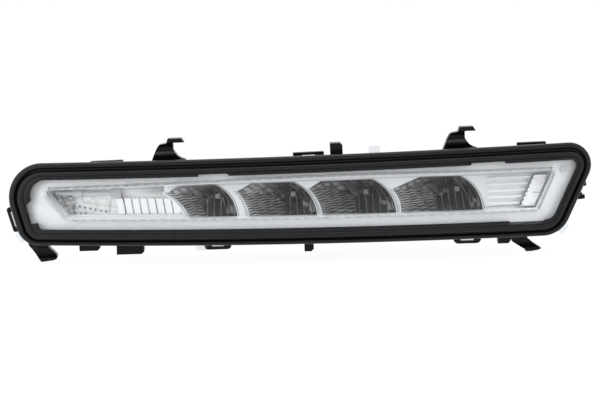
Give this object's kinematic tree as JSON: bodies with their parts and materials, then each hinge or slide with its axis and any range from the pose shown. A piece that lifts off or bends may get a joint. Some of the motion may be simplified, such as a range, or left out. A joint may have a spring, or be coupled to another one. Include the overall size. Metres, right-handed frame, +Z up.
{
  "type": "daytime running light",
  "caption": "Bowed daytime running light for a car bumper: clear lens with moulded rubber seal, fluted white bezel, chrome reflector cups, hooked black housing.",
  "frame": {"origin": "middle of the lens opening, on the plane that touches the lens where it comes furthest forward", "axes": "+X to the right seen from the front, +Y back into the lamp, +Z up"},
  "size_m": [0.4067, 0.0923, 0.0884],
  "materials": {
    "black_plastic": "moulded, faint grain",
    "clear_lens": "clear, gloss",
    "seal_rubber": "satin rubber",
    "sealant": "cured sealant",
    "white_bezel": "satin white",
    "dark_chrome": "dark mirror",
    "silver_reflector": "bright mirror",
    "light_pipe": "clear white",
    "grey_plastic": "satin grey",
    "optic_plastic": "clear, ribbed",
    "white_board": "white solder mask",
    "thermal_pad": "soft pad",
    "aluminium": "extruded",
    "green_board": "green solder mask",
    "ferrite": "dark ferrite",
    "chip_epoxy": "black epoxy",
    "can_metal": "drawn can",
    "cover_plastic": "moulded, ribbed",
    "plug_plastic": "moulded",
    "vent_plastic": "moulded",
    "led_body": "white body, yellow phosphor",
    "screw_steel": "zinc plated",
    "pin_brass": "tinned brass"
  },
  "bodies": {
    "root": {"housing": "black_plastic", "lens": "clear_lens", "edge_seal": "seal_rubber", "sealant_bead": "sealant", "bezel": "white_bezel", "reflector_bank": "dark_chrome", "side_reflector": "silver_reflector", "light_guide": "light_pipe", "guide_clip": "grey_plastic", "end_optic": "optic_plastic", "led_board": "white_board", "thermal_pad": "thermal_pad", "heat_sink": "aluminium", "driver_board": "green_board", "coil": "ferrite", "driver_chip": "chip_epoxy", "capacitor": "can_metal", "driver_cover": "cover_plastic", "cover_seal": "seal_rubber", "connector_shell": "plug_plastic", "vent_cap": "vent_plastic", "led_1": "led_body", "board_screw_1": "screw_steel", "cover_screw_1": "screw_steel", "led_2": "led_body", "board_screw_2": "screw_steel", "cover_screw_2": "screw_steel", "led_3": "led_body", "board_screw_3": "screw_steel", "cover_screw_3": "screw_steel", "led_4": "led_body", "board_screw_4": "screw_steel", "cover_screw_4": "screw_steel", "bezel_screw_1": "screw_steel", "bezel_screw_2": "screw_steel", "contact_pin_1": "pin_brass", "contact_pin_2": "pin_brass", "contact_pin_3": "pin_brass"}
  },
  "joints": []
}
